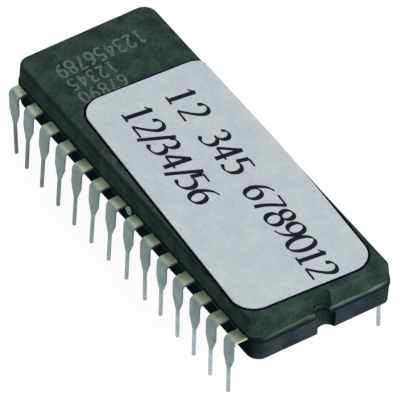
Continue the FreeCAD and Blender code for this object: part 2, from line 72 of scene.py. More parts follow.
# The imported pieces' own sizes that a box doesn't give, in millimetres.
DRAFT = math.radians(4)
CORNER = 1.30
TIGHT_CORNER = 0.60
CAP_RIM = 0.30
BASE_RIM = 0.20
NOTCH = 0.85
NOTCH_GLASS = 0.14
BEAD = 0.08
WELL = (4.50, 3.50)
WELL_DEPTH = 0.75
OPENING = (5.40, 4.40)
LID_RECESS = 0.55
HOLE = 7.11 / 2
HOLE_BEVEL = 0.12
PER_ROW = 14
LEAD_PITCH = 2.54
LEG_MIDDLE = 15.24 / 2
LEG_SPLAY = 0.22
SHOULDER = 1.30
BLADE_TOP = 3.05
TAPER_TOP = 4.35
TIP_BEVEL = 0.10
BEND = 0.32
ROOT_DEPTH = 0.90
FINGER_TIP = 0.45
TIP_SETBACK = 0.15
SIDE_TIPS = 3
SIDE_TIP_PITCH = 1.40
END_TIP_PITCH = 0.85
AGAINST_WALL = 1
FIRST_LEG_GAP = 0.02
FIRST_LEG_KNEE = 0.90
FIRST_LEG_LEAN = 0.32
LEANS_ALONG = {15: 0.60, 23: 0.27}
LABEL_SIZE = (27.22, 12.20)
LABEL_CORNER = 2.00
LABEL_TURN = math.radians(-3.1)
LABEL_MIDDLE = (3.26, 0.34)

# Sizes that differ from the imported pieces': blades about as narrow as in the photo, and on lead 1 an
# inside bend so tight that it clears the base's upper edge.
BLADE = 0.32
FIRST_LEG_BEND = 0.18
# How far handling has pressed a leg in from its place, at its top and at its tip.
PRESSED_IN = {
    15: (0.26, 0.26), 16: (0.13, 0.04), 17: (0.05, -0.10), 18: (0.00, -0.12), 19: (-0.03, -0.16),
    20: (0.04, -0.11), 21: (0.03, -0.06), 22: (0.10, 0.05), 23: (0.06, 0.02), 24: (0.03, 0.07),
    25: (-0.08, 0.08), 26: (-0.09, 0.00), 27: (-0.17, -0.07), 28: (-0.13, 0.01),
    2: (0.05, 0.10), 4: (-0.03, 0.05), 7: (0.04, -0.06), 10: (-0.05, 0.04), 13: (0.03, 0.08),
}
# Blades that end above the floor, by how much.
CUT_SHORT = {
    17: 0.05, 18: 0.06, 20: 0.05, 21: 0.17, 22: 0.10, 23: 0.12, 24: 0.28, 26: 0.15, 27: 0.09, 28: 0.38,
}


# Meshes

def skin(rows, columns, wrap=False, first=0):
    """Faces over rows of closed loops, whose points are numbered row by row from the first number.

    Neighbouring rows are joined by quads. The last row joins the first where wrap is set, and otherwise
    the two end loops are each filled by one flat face.
    """
    grid = np.arange(rows * columns).reshape(rows, columns) + first
    ends = [] if wrap else [grid[0, ::-1].tolist(), grid[-1].tolist()]
    if wrap:
        grid = np.vstack([grid, grid[:1]])
    right = np.roll(grid, -1, axis=1)
    quads = np.stack([grid[:-1], right[:-1], right[1:], grid[1:]], axis=-1)
    return quads.reshape(-1, 4).tolist() + ends


def piece(name, rings, material, replaced=(), wrap=False, sharp=35.0, painted_light=None):
    """A closed skin over rings of points, an array of rows by columns by three in millimetres.

    Painted light is a number for each row or each point, which the material reads as painted shade on the
    ceramic and painted highlights on the glass and on one lead.
    """
    rows, columns = rings.shape[:2]
    if painted_light is not None:
        painted_light = np.broadcast_to(np.reshape(painted_light, (rows, -1)), (rows, columns))
    finished(name, rings.reshape(-1, 3), skin(rows, columns, wrap), material, replaced, sharp, painted_light)


def finished(name, points, faces, material, replaced=(), sharp=35.0, painted_light=None):
    """Put points in millimetres and faces into a mesh piece that rides on the chip's one body.

    Edges that turn by more than the sharp angle, in degrees, keep their crease.
    """
    mesh = bpy.data.meshes.new(name)
    mesh.from_pydata((np.asarray(points) * MM).tolist(), [], faces)
    mesh.polygons.foreach_set("use_smooth", [True] * len(mesh.polygons))
    mesh.set_sharp_from_angle(angle=math.radians(sharp))
    mesh.materials.append(material)
    # Painted light and shade at each point, which the material reads.
    if painted_light is not None:
        layer = mesh.attributes.new("painted_light", "FLOAT", "POINT")
        layer.data.foreach_set("value", np.ravel(painted_light).astype(np.float32))
    mesh.update()
    made = bpy.data.objects.new(name, mesh)
    bpy.context.scene.collection.objects.link(made)
    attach(made, BODY)
    if replaced:
        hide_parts(*replaced)


def uneven(turns, seed, slowest=3, waves=7):
    """A smooth unevenness of about one round a closed loop: sines of whole wave counts, mixed."""
    random = np.random.default_rng(seed)
    counts = slowest * (1 + np.arange(waves))
    starts = random.uniform(0, 2 * np.pi, waves)
    heights = random.uniform(0.5, 1.0, waves) / math.sqrt(waves)
    return (heights * np.sin(2 * np.pi * np.outer(turns, counts) + starts)).sum(axis=1)


# Plan outlines of the body

# Points along each part of the outline.
BESIDE_NOTCH_POINTS = 14
CORNER_POINTS = 10
LONG_SIDE_POINTS = 90
SHORT_SIDE_POINTS = 30
NOTCH_POINTS = 24
# Keeps a ray along an axis from a division by nothing.
NEVER_ZERO = 1e-9


def straight(start, end, count):
    """Points evenly along a line, without the last."""
    return np.linspace(start, end, count, endpoint=False)


def arc(centre, radius, first, last, count):
    """Points evenly round part of a circle, without the last, angles in radians."""
    turn = np.linspace(first, last, count, endpoint=False)
    return np.stack([centre[0] + radius * np.cos(turn), centre[1] + radius * np.sin(turn)], axis=-1)


def outline(inset, notch=NOTCH, aside=0.0):
    """The body's plan, drawn in by the inset: a round-cornered rectangle less the notch's circle.

    The loop starts where the +X wall meets the notch and runs anticlockwise. The corners keep their
    centres, so their radius shrinks by the inset, and the notch keeps its own circle, whose centre
    may lie aside of the middle. The first corner, by lead 1, is tighter than the others.
    """
    x = HALF_LENGTH - inset
    y = HALF_WIDTH - inset
    radius = CORNER - inset
    corner_x = HALF_LENGTH - CORNER
    corner_y = HALF_WIDTH - CORNER
    first_x = HALF_LENGTH - TIGHT_CORNER
    first_y = HALF_WIDTH - TIGHT_CORNER
    lip = math.sqrt(notch ** 2 - inset ** 2)
    bite = math.acos(inset / notch)
    return np.concatenate([
        straight((x, aside + lip), (x, first_y), BESIDE_NOTCH_POINTS),
        arc((first_x, first_y), TIGHT_CORNER - inset, 0, QUARTER, CORNER_POINTS),
        straight((first_x, y), (-corner_x, y), LONG_SIDE_POINTS),
        arc((-corner_x, corner_y), radius, QUARTER, 2 * QUARTER, CORNER_POINTS),
        straight((-x, corner_y), (-x, -corner_y), SHORT_SIDE_POINTS),
        arc((-corner_x, -corner_y), radius, 2 * QUARTER, 3 * QUARTER, CORNER_POINTS),
        straight((-corner_x, -y), (corner_x, -y), LONG_SIDE_POINTS),
        arc((corner_x, -corner_y), radius, 3 * QUARTER, 4 * QUARTER, CORNER_POINTS),
        straight((x, -corner_y), (x, aside - lip), BESIDE_NOTCH_POINTS),
        arc((HALF_LENGTH, aside), notch, math.pi + bite, math.pi - bite, NOTCH_POINTS),
    ])


LOOP = outline(0.0)
TURNS = np.arange(len(LOOP)) / len(LOOP)
BEARINGS = np.arctan2(LOOP[:, 1], LOOP[:, 0])


def outward(loop):
    """Unit normals of an anticlockwise plan loop, pointing away from the body: its tangent turned right."""
    ahead = np.roll(loop, -1, axis=0) - np.roll(loop, 1, axis=0)
    normal = np.column_stack([ahead[:, 1], -ahead[:, 0]])
    return normal / np.linalg.norm(normal, axis=1)[:, None]


def at_level(loop, level):
    """A plan loop about the body's middle, carried to its place and one level."""
    return np.column_stack([loop[:, 0], loop[:, 1] + BODY_SHIFT, np.broadcast_to(level, len(loop))])


def circle_loop(radius):
    """A circle whose points lie on the same bearings as the outline's."""
    return radius * np.column_stack([np.cos(BEARINGS), np.sin(BEARINGS)])


def rectangle_loop(half):
    """A rectangle whose points lie on the outline's bearings, with the nearest ones at its corners."""
    rays = np.column_stack([np.cos(BEARINGS), np.sin(BEARINGS)])
    reach = np.min(np.asarray(half) / np.maximum(np.abs(rays), NEVER_ZERO), axis=1)
    loop = rays * reach[:, None]
    for corner in ((1, 1), (-1, 1), (-1, -1), (1, -1)):
        place = np.asarray(half) * corner
        loop[np.argmin(np.hypot(*(loop - place).T))] = place
    return loop


# Pressed halves

# Rows of a wall from the seam up: the round of its edge, the flat of the wall and the rim's arc. The
# flat starts this far above the seam and stops this far short of the arc, and one more row follows
# this far in on the face.
SEAM_ROUND = 0.06
SEAM_ROWS = 4
WALL_ROWS = 6
WALL_START = 0.12
WALL_END = 0.04
RIM_ARC_ROWS = 8
BESIDE_RIM = 0.05
# The rows from the wall's last to the rim's last, and how much painted shade darkens each.
RIM_ROWS = slice(SEAM_ROWS + WALL_ROWS - 1, SEAM_ROWS + WALL_ROWS + RIM_ARC_ROWS)
RIM_PAINTED_SHADE = (0.1, 0.4, 0.55, 0.55, 0.55, 0.55, 0.5, 0.3, 0.0)
# How far the pressed edge wanders, and how much less it does at the rim than at the seam.
WANDER = 0.022
RIM_CALM = 0.6
# The halves were pressed one by one, so their notches don't meet exactly. Offsets along Y.
CAP_NOTCH_ASIDE = -0.10
BASE_NOTCH_ASIDE = 0.38
GLASS_NOTCH_ASIDE = -0.08
# Painted shade on the base's wall starts where it faces Y by the first share and is full after the
# second more.
SHADE_FACING = 0.6
SHADE_RANGE = 0.35


def pressed_wall(thickness, rim):
    """Rows of inset and rise from the seam to the far face of a pressed half.

    A small round at the seam, a wall that leans in by the draft, the rim's arc tangent to the wall and
    to the flat face, and one row on the flat that keeps the shading of the rim off it.
    """
    rows = [(SEAM_ROUND * (1 - math.sin(turn)), SEAM_ROUND * (1 - math.cos(turn)))
            for turn in np.linspace(0, QUARTER, SEAM_ROWS)]
    rim_start = thickness - rim + rim * math.sin(DRAFT)
    rises = np.linspace(WALL_START, rim_start - WALL_END, WALL_ROWS)
    rows += [(rise * math.tan(DRAFT), rise) for rise in rises]
    rim_inset = (thickness - rim) * math.tan(DRAFT) + rim / math.cos(DRAFT)
    for turn in np.linspace(DRAFT, QUARTER, RIM_ARC_ROWS):
        rows.append((rim_inset - rim * math.cos(turn), thickness - rim + rim * math.sin(turn)))
    rows.append((rim_inset + BESIDE_RIM, thickness))
    return rows


def wall_rings(rows, seam, side, seed, aside):
    """The wall's rows carried round the outline, upwards for side 1 and downwards for side -1.

    The pressed edge wanders by a few hundredths of a millimetre, more at the seam than at the rim.
    """
    wander = WANDER * uneven(TURNS, seed, slowest=5)
    thickness = rows[-1][1]
    rings = []
    for inset, rise in rows:
        loop = outline(inset, aside=aside)
        share = 1 - RIM_CALM * rise / thickness
        outwards = loop / np.linalg.norm(loop, axis=1)[:, None]
        rings.append(at_level(loop + outwards * (wander * share)[:, None], seam + side * rise))
    return rings


def make_cap(material):
    """Upper half: wall and rim, flat top to the window's hole, recess and seam face, closed on itself.

    Its rim is darkened along the long sides with painted shade.
    """
    rows = pressed_wall(CAP_TOP - CAP_BOTTOM, CAP_RIM)
    ceiling = CAP_BOTTOM + LID_RECESS
    rings = wall_rings(rows, CAP_BOTTOM, 1, seed=11, aside=CAP_NOTCH_ASIDE)
    rings += [
        at_level(circle_loop(HOLE + HOLE_BEVEL), CAP_TOP),
        at_level(circle_loop(HOLE), CAP_TOP - HOLE_BEVEL),
        at_level(circle_loop(HOLE), ceiling),
        at_level(rectangle_loop(OPENING), ceiling),
        at_level(rectangle_loop(OPENING), CAP_BOTTOM),
    ]
    painted_light = np.zeros((len(rings), len(LOOP)))
    # Painted shade on the rim, strongest where the outline faces Y.
    painted_light[RIM_ROWS] = np.outer(RIM_PAINTED_SHADE, outward(LOOP)[:, 1] ** 2)
    piece("cap_ceramic", np.array(rings), material, ["ceramic_cap"], wrap=True, painted_light=painted_light)


def make_base(material):
    """Lower half: flat underside, rim and wall up to the seam face, then down into the die's well.

    Its long walls are darkened with painted shade between the leads.
    """
    rows = pressed_wall(BASE_TOP - BASE_BOTTOM, BASE_RIM)
    rings = wall_rings(rows, BASE_TOP, -1, seed=12, aside=BASE_NOTCH_ASIDE)[::-1]
    rings += [
        at_level(rectangle_loop(WELL), BASE_TOP),
        at_level(rectangle_loop(WELL), BASE_TOP - WELL_DEPTH),
    ]
    # Painted shade: the walls that face Y are darkened where they lie under the cap and between the leads.
    facing = np.abs(outward(LOOP)[:, 1])
    painted_light = np.tile(np.clip((facing - SHADE_FACING) / SHADE_RANGE, 0, 1), (len(rings), 1))
    # The loop round the underside carries no painted shade, or it would spread over the whole flat face.
    painted_light[0] = 0
    piece("base_ceramic", np.array(rings), material, ["ceramic_base"], painted_light=painted_light)


# Sealing glass

# How pale the painted highlight along the glass's upper edge is on the notched end: places along Y,
# and shares.
GLASS_PAINTED_HIGHLIGHT = ((-5.6, 0.0), (-4.9, 0.30), (-3.0, 0.42), (-1.4, 0.30), (-0.6, 0.45), (1.0, 0.25),
                (1.7, 0.62), (3.6, 0.60), (4.3, 0.34), (5.2, 0.90), (6.1, 0.40), (6.5, 0.0))
# How far the glass has climbed the cap's wall on the notched end: places along Y, and heights.
GLASS_CLIMB = ((-6.3, 0.08), (-4.6, 0.22), (-2.9, 0.30), (-1.2, 0.42), (-0.9, 0.26), (0.6, 0.22),
               (1.2, 0.18), (2.3, 0.24), (3.6, 0.20), (4.9, 0.15), (5.6, 0.30), (6.8, 0.36))
# Uneven shares of the bead's swell and of its climb.
SWELL_UNEVEN = 0.35
CLIMB_UNEVEN = 0.15
# The bead's foot behind the wall, and the loop that closes its back.
BEAD_FOOT = 0.02
BEAD_BACK = 0.12
BEAD_ROWS = 17
# The notched end's stretch of the outline: where it starts from the end wall, and how soon it is full.
END_START = 1.2
END_RANGE = 0.6
# The painted highlight is full where the edge faces +X by more than both of the first two together,
# weaker where it faces less, and never under the least share on that end. Then its place and spread in
# radians up the bead's round.
HIGHLIGHT_FACING = 0.80
HIGHLIGHT_RANGE = 0.15
HIGHLIGHT_LEAST = 0.4
HIGHLIGHT_TURN = 0.78
HIGHLIGHT_SPREAD = 0.42
# The drop: points and rows, the open ends in radians, and how uneven it is.
DROP_POINTS = 20
DROP_ROWS = 9
DROP_END = 0.15
DROP_UNEVEN = 0.22
DROP_MIDDLE = (-0.20, -6.44, 6.02)
DROP_RADII = (0.40, 0.16, 0.34)


def make_seal(material):
    """Fired glass between the halves: a bead that swells out of the seam by an uneven amount.

    Round the bead the surface is half an ellipse, as high as the gap and as deep as the swell. On the
    notched end its upper half climbs the cap's wall, most beside the notch on the -Y side.
    """
    swell = BEAD * (1 + SWELL_UNEVEN * uneven(TURNS, seed=21, slowest=9))
    half = (CAP_BOTTOM - BASE_TOP) / 2
    notch = NOTCH - NOTCH_GLASS
    edge = outline(BEAD_FOOT, notch, GLASS_NOTCH_ASIDE)
    outwards = outward(edge)
    on_end = np.clip((LOOP[:, 0] - HALF_LENGTH + END_START) / END_RANGE, 0, 1)
    climb = on_end * np.interp(LOOP[:, 1] + BODY_SHIFT, *np.transpose(GLASS_CLIMB))
    climb *= 1 + CLIMB_UNEVEN * uneven(TURNS, seed=22, slowest=11)
    rings = [at_level(rectangle_loop(WELL), BASE_TOP)]
    bead_turns = np.linspace(-QUARTER, QUARTER, BEAD_ROWS)
    for turn in bead_turns:
        rise = half + climb if turn > 0 else half
        loop = edge + outwards * (swell * math.cos(turn))[:, None]
        rings.append(at_level(loop, LEAD_LEVEL + rise * math.sin(turn)))
    rings += [
        at_level(outline(BEAD_BACK, notch, GLASS_NOTCH_ASIDE), CAP_BOTTOM),
        at_level(rectangle_loop(OPENING), CAP_BOTTOM),
        at_level(rectangle_loop(OPENING), LEAD_LEVEL),
        at_level(rectangle_loop(WELL), LEAD_LEVEL),
    ]
    # Painted highlight along the bead's upper edge on the notched end.
    facing_end = on_end * np.clip((outwards[:, 0] - HIGHLIGHT_FACING) / HIGHLIGHT_RANGE, HIGHLIGHT_LEAST, 1)
    painted_highlight = facing_end * np.interp(LOOP[:, 1] + BODY_SHIFT, *np.transpose(GLASS_PAINTED_HIGHLIGHT))
    painted_light = np.zeros((len(rings), len(LOOP)))
    up_the_bead = np.exp(-((bead_turns - HIGHLIGHT_TURN) / HIGHLIGHT_SPREAD) ** 2)
    painted_light[1:1 + BEAD_ROWS] = up_the_bead[:, None] * painted_highlight
    piece("seal_bead", np.array(rings), material, ["seal_glass"], wrap=True, painted_light=painted_light)


def make_spill(material):
    """A drop of glass that ran out of the seam: an ellipsoid whose radius varies by about a quarter."""
    turns = np.linspace(0, 1, DROP_POINTS, endpoint=False)
    rings = []
    for tilt in np.linspace(DROP_END, math.pi - DROP_END, DROP_ROWS):
        bulge = 1 + DROP_UNEVEN * uneven(turns, seed=40, slowest=2, waves=3)
        ring = np.column_stack([
            np.full(DROP_POINTS, -math.cos(tilt)),
            math.sin(tilt) * np.cos(2 * np.pi * turns) * bulge,
            math.sin(tilt) * np.sin(2 * np.pi * turns) * bulge,
        ])
        rings.append(np.array(DROP_MIDDLE) + ring * DROP_RADII)
    piece("seal_spill", np.array(rings), material, sharp=80.0)


# Leads

# Stations over the shoulder, round the bend, and down the leg, its taper and its blade.
SHOULDER_STEPS = 6
BEND_STEPS = 9
LEG_STEPS = 5
TAPER_STEPS = 7
BLADE_STEPS = 7
# The first station of the shoulder's own, this far behind the ceramic's wall.
SHOULDER_START = 0.35
# The sheet's edges are rounded by this radius, with this many points to each.
SHEET_ROUND = 0.045
EDGE_POINTS = 3
# The lead whose sheet edge carries a painted highlight on its shoulder, as the photo shows it: the
# stations from the shoulder's start into the bend, and the section's points on the edge that faces the
# notched end.
GLINT_LEAD = 28
GLINT_STATIONS = slice(3, 11)
GLINT_POINTS = [0, 10, 11]


def lead_place(number):
    """Row side, place along X, and the finger's tip from the body's middle, for one lead."""
    middle = (PER_ROW - 1) / 2
    side = 1 if number <= PER_ROW else -1
    steps = middle - (number - 1) if side > 0 else number - 1 - PER_ROW - middle
    along = math.copysign(1, steps)
    rank = int(abs(steps))
    if rank < SIDE_TIPS:
        tip = (SIDE_TIP_PITCH * (rank + 0.5) * along, WELL[1] + TIP_SETBACK)
    else:
        tip = ((WELL[0] + TIP_SETBACK) * along, END_TIP_PITCH * (PER_ROW // 2 - 1 - rank + 0.5))
    return side, LEAD_PITCH * steps, tip, rank < SIDE_TIPS


def leg_knots(number, wall, bend):
    """Levels upwards and distances out of the middle of a leg, at its tip, its knees and its top.

    The wall is the ceramic's on that side. The leg pressed against it runs down beside it, in under
    the ceramic and straight down. Any other leg leans outwards by the splay.
    """
    leg_top = LEAD_LEVEL - LEAD_THICKNESS / 2 - bend
    if number == AGAINST_WALL:
        out = wall + FIRST_LEG_GAP + LEAD_THICKNESS / 2
        tip = out - FIRST_LEG_LEAN
        return (0, BASE_BOTTOM - FIRST_LEG_KNEE, BASE_BOTTOM, leg_top), (tip, tip, out, out)
    share = BLADE_TOP / 2 / leg_top
    top_in, tip_in = PRESSED_IN.get(number, (0, 0))
    tip = LEG_MIDDLE + LEG_SPLAY * share - tip_in
    out = LEG_MIDDLE - LEG_SPLAY * (1 - share) - top_in
    return (0, leg_top), (tip, out)


def lead_line(number):
    """Stations along one lead: middle, half-width vector and the sheet's normal, each rows by three.

    From the finger's tip the strip runs flat through the seal, turns down round the bend and ends at
    the tip. Its half width is the shoulder's, falls in a straight taper to the blade's, and a leg
    that was pushed along its row leans in proportion to the way down.
    """
    side, place, tip, tip_on_side = lead_place(number)
    wall = HALF_WIDTH + BODY_SHIFT * side
    bend = FIRST_LEG_BEND if number == AGAINST_WALL else BEND
    knot_levels, knot_outs = leg_knots(number, wall, bend)
    leg_top = knot_levels[-1]
    bend_middle = bend + LEAD_THICKNESS / 2
    bend_out = knot_outs[-1] - bend_middle
    flat_normal = (0, 0, 1)
    tip_half = (FINGER_TIP / 2, 0) if tip_on_side else (0, -math.copysign(FINGER_TIP / 2, tip[0]))
    stations = [((tip[0], tip[1] + BODY_SHIFT * side, LEAD_LEVEL), (*tip_half, 0), flat_normal)]
    over_shoulder = np.linspace(wall - SHOULDER_START, bend_out, SHOULDER_STEPS)
    for out in np.concatenate([[wall - ROOT_DEPTH], over_shoulder]):
        stations.append(((place, out, LEAD_LEVEL), (SHOULDER / 2, 0, 0), flat_normal))
    for turn in np.linspace(0, QUARTER, BEND_STEPS)[1:]:
        out = bend_out + bend_middle * math.sin(turn)
        level = LEAD_LEVEL - bend_middle * (1 - math.cos(turn))
        stations.append(((place, out, level), (SHOULDER / 2, 0, 0), (0, math.sin(turn), math.cos(turn))))
    lean_along = LEANS_ALONG.get(number, 0) * -side
    foot = CUT_SHORT.get(number, 0)
    levels = np.concatenate([
        np.linspace(leg_top, TAPER_TOP, LEG_STEPS)[1:],
        np.linspace(TAPER_TOP, BLADE_TOP, TAPER_STEPS)[1:],
        np.linspace(BLADE_TOP, TIP_BEVEL, BLADE_STEPS)[1:],
        [0],
    ])
    ends = levels.copy()
    levels = np.where(levels < BLADE_TOP, foot + levels * (1 - foot / BLADE_TOP), levels)
    outs = np.interp(levels, knot_levels, knot_outs)
    slopes = np.gradient(outs, levels)
    for level, end, out, slope in zip(levels, ends, outs, slopes):
        share = (leg_top - level) / leg_top
        half = np.interp(end, (0, TIP_BEVEL, BLADE_TOP, TAPER_TOP),
                         (BLADE / 2 - TIP_BEVEL, BLADE / 2, BLADE / 2, SHOULDER / 2))
        normal = np.array((0, 1, -slope)) / math.hypot(1, slope)
        stations.append(((place + lean_along * share, out, level), (half, 0, 0), normal))
    line = np.array(stations, float)
    line[:, :, 1] *= side
    line[:, 1] *= -side
    return line[:, 0], line[:, 1], line[:, 2]


def make_lead(number, material):
    """A stamped strip: a rectangle with slightly rounded edges, carried along the lead's line."""
    middles, halves, normals = lead_line(number)
    widths = np.linalg.norm(halves, axis=1)
    across = halves / widths[:, None]
    half_sheet = LEAD_THICKNESS / 2
    rings = []
    for corner, (right, up) in enumerate(((1, 1), (-1, 1), (-1, -1), (1, -1))):
        for turn in np.linspace(0, QUARTER, EDGE_POINTS) + corner * QUARTER:
            sideways = right * (widths - SHEET_ROUND) + SHEET_ROUND * math.cos(turn)
            height = up * (half_sheet - SHEET_ROUND) + SHEET_ROUND * math.sin(turn)
            rings.append(middles + across * sideways[:, None] + normals * height)
    rings = np.stack(rings, axis=1)
    painted_light = np.zeros(rings.shape[:2])
    # Painted highlight on this lead's shoulder edge.
    if number == GLINT_LEAD:
        painted_light[GLINT_STATIONS, GLINT_POINTS] = 1
    name = f"lead_{number:02d}"
    piece(f"{name}_strip", rings, material, [name], sharp=40.0, painted_light=painted_light)


# Label and print

# Rows round a sheet's corner and between its corners, points across it, and how its edge is eased.
CORNER_ROWS = 14
SHEET_ROWS = 60
SHEET_POINTS = 49
SHEET_EASE = 0.03
# A thin dark sheet under the paper, a painted shadow line round the label: past its edge all round,
# and as far up and down.
SHADOW_LINE_MARGIN = 0.22
SHADOW_LINE_LIFT = 0.02
# Points along a curved and a straight stroke, and knots round an oval.
CURVE_POINTS = 26
LINE_POINTS = 6
OVAL_KNOTS = 13
# Half a stroke's thickness: it is sunk by this much and stands as high.
INK = 0.006
# How much higher each stroke lies than the one before it, and climbs on its way, in thicknesses.
STROKE_RISE = 0.4
CLIMB_RISE = 0.3


def on_cap(along, across, lift):
    """Points of the label's own axes laid on the cap at a lift above it, wrapped over its long edges.

    Past the flat top's edge, the way across is an arc length: first round the rim, then down the wall.
    """
    cos, sin = math.cos(LABEL_TURN), math.sin(LABEL_TURN)
    x = LABEL_MIDDLE[0] + cos * along - sin * across
    y = LABEL_MIDDLE[1] + sin * along + cos * across
    inset = (CAP_TOP - CAP_BOTTOM - CAP_RIM) * math.tan(DRAFT) + CAP_RIM / math.cos(DRAFT)
    flat_edge = HALF_WIDTH - inset
    bent = CAP_RIM + PAPER / 2
    beyond = np.maximum(np.abs(y) - flat_edge, 0)
    turn = np.minimum(beyond / bent, QUARTER - DRAFT)
    down = beyond - turn * bent
    out = np.minimum(np.abs(y), flat_edge) + (CAP_RIM + lift) * np.sin(turn) + down * math.sin(DRAFT)
    height = CAP_TOP - CAP_RIM + (CAP_RIM + lift) * np.cos(turn) - down * math.cos(DRAFT)
    return np.stack([x, np.copysign(out, y) + BODY_SHIFT, height], axis=-1)


def on_label(along, across, lift):
    """Print on the paper, sunk into it by half its thickness."""
    return on_cap(along, across, PAPER - INK + 2 * INK * lift)


def on_far_end(along, across, lift):
    """Marking on the bare end of the cap: read towards -Y, with the tops towards +X, and sunk alike."""
    return np.stack([across, BODY_SHIFT - along, CAP_TOP - INK + 2 * INK * lift], axis=-1)


def label_sheet(name, grow, low, high, material, replaced=()):
    """A sheet with round corners between two lifts: at each place along it, its own half width across.

    Near an end the half width falls by the corner circle's own drop.
    """
    half_length = LABEL_SIZE[0] / 2 + grow
    half_width = LABEL_SIZE[1] / 2 + grow
    corner = LABEL_CORNER + grow
    ends = corner - corner * np.cos(np.linspace(0, QUARTER, CORNER_ROWS))
    between = np.linspace(-half_length + corner, half_length - corner, SHEET_ROWS)[1:-1]
    along = np.concatenate([-half_length + ends, between, (half_length - ends)[::-1]])
    from_end = np.minimum(half_length - np.abs(along), corner)
    width = half_width - corner + np.sqrt(np.maximum(corner ** 2 - (corner - from_end) ** 2, 0))
    shares = np.sin(np.linspace(-QUARTER, QUARTER, SHEET_POINTS))
    soft = min(SHEET_EASE, (high - low) / 3)
    top = [(share, high) for share in shares]
    top[0] = (-1, high - soft)
    top[-1] = (1, high - soft)
    under = [(share, low) for share in shares[::-1]]
    section = np.array(top + under)[::-1]
    across = np.outer(width, section[:, 0])
    inner = np.abs(section[:, 0]) < 1
    across[:, inner] = np.clip(across[:, inner], -(width - soft)[:, None], (width - soft)[:, None])
    lift = np.broadcast_to(section[:, 1], across.shape)
    rings = on_cap(np.broadcast_to(along[:, None], across.shape), across, lift)
    piece(name, rings[::-1], material, replaced)


def smooth_curve(knots):
    """A smooth curve through a few points: cubic pieces whose slopes come from the neighbours."""
    knots = np.asarray(knots, float)
    if len(knots) == 2:
        return knots[0] + (knots[1] - knots[0]) * np.linspace(0, 1, LINE_POINTS)[:, None]
    closed = np.allclose(knots[0], knots[-1])
    before = knots[-2] if closed else 2 * knots[0] - knots[1]
    after = knots[1] if closed else 2 * knots[-1] - knots[-2]
    padded = np.vstack([before, knots, after])
    place = np.linspace(0, len(knots) - 1, CURVE_POINTS)
    step = np.minimum(place.astype(int), len(knots) - 2)
    t = (place - step)[:, None]
    a, b, c, d = (padded[step + shift] for shift in range(4))
    square = (2 * a - 5 * b + 4 * c - d) * t ** 2
    cube = (3 * b - a - 3 * c + d) * t ** 3
    return 0.5 * (2 * b + (c - a) * t + square + cube)


def oval(x, y, wide, high):
    """Knots of a closed oval, started at its top."""
    turn = np.linspace(0, 2 * math.pi, OVAL_KNOTS)
    return [(x - wide * math.sin(a), y + high * math.cos(a)) for a in turn]


# Strokes of plain figures in a box one high. Each stroke is a few knots.
FIGURES = {
    "0": [oval(0.29, 0.50, 0.26, 0.49)],
    "1": [[(0.10, 0.84), (0.20, 0.90), (0.29, 1.00)], [(0.29, 1.00), (0.29, 0.0)],
          [(0.12, 0.01), (0.46, 0.01)]],
    "2": [[(0.05, 0.76), (0.11, 0.93), (0.27, 1.00), (0.44, 0.92), (0.49, 0.74), (0.41, 0.52), (0.24, 0.27),
           (0.04, 0.03)], [(0.04, 0.03), (0.53, 0.03)]],
    "3": [[(0.07, 0.84), (0.17, 0.97), (0.31, 0.99), (0.44, 0.88), (0.43, 0.68), (0.31, 0.56), (0.19, 0.53)],
          [(0.19, 0.53), (0.37, 0.51), (0.50, 0.38), (0.49, 0.17), (0.35, 0.03), (0.17, 0.01), (0.03, 0.09)]],
    "4": [[(0.40, 1.00), (0.02, 0.30)], [(0.02, 0.30), (0.56, 0.30)], [(0.40, 1.00), (0.40, 0.0)]],
    "5": [[(0.15, 0.98), (0.50, 0.98)], [(0.15, 0.98), (0.10, 0.56)],
          [(0.10, 0.56), (0.26, 0.60), (0.44, 0.53), (0.51, 0.34), (0.43, 0.11), (0.24, 0.01), (0.03, 0.07)]],
    "6": [[(0.46, 0.97), (0.26, 0.86), (0.11, 0.62), (0.05, 0.36), (0.12, 0.10), (0.29, 0.01), (0.46, 0.11),
           (0.51, 0.31), (0.44, 0.50), (0.29, 0.57), (0.12, 0.48), (0.06, 0.34)]],
    "7": [[(0.05, 0.97), (0.53, 0.97)], [(0.53, 0.97), (0.36, 0.63), (0.24, 0.30), (0.19, 0.0)]],
    "8": [oval(0.28, 0.77, 0.19, 0.22), oval(0.28, 0.28, 0.24, 0.27)],
    "9": [[(0.10, 0.03), (0.30, 0.14), (0.45, 0.38), (0.51, 0.64), (0.44, 0.90), (0.27, 0.99), (0.10, 0.89),
           (0.05, 0.69), (0.12, 0.50), (0.27, 0.43), (0.44, 0.52), (0.50, 0.66)]],
    "/": [[(0.0, -0.14), (0.34, 1.06)]],
}


def stroke(knots, nib, thin, slant):
    """Both sides of one pen stroke: the curve, shifted each way along its normal by half its weight.

    A broad nib gives the weight: its own width across the way it moves, and never under the thin one.
    """
    line = smooth_curve(knots)
    line = line + np.outer(line[:, 1], (slant, 0))
    ahead = np.gradient(line, axis=0)
    ahead /= np.linalg.norm(ahead, axis=1)[:, None]
    normal = np.column_stack([-ahead[:, 1], ahead[:, 0]])
    weight = np.hypot(normal @ nib, thin)
    return line + normal * weight[:, None] / 2, line - normal * weight[:, None] / 2


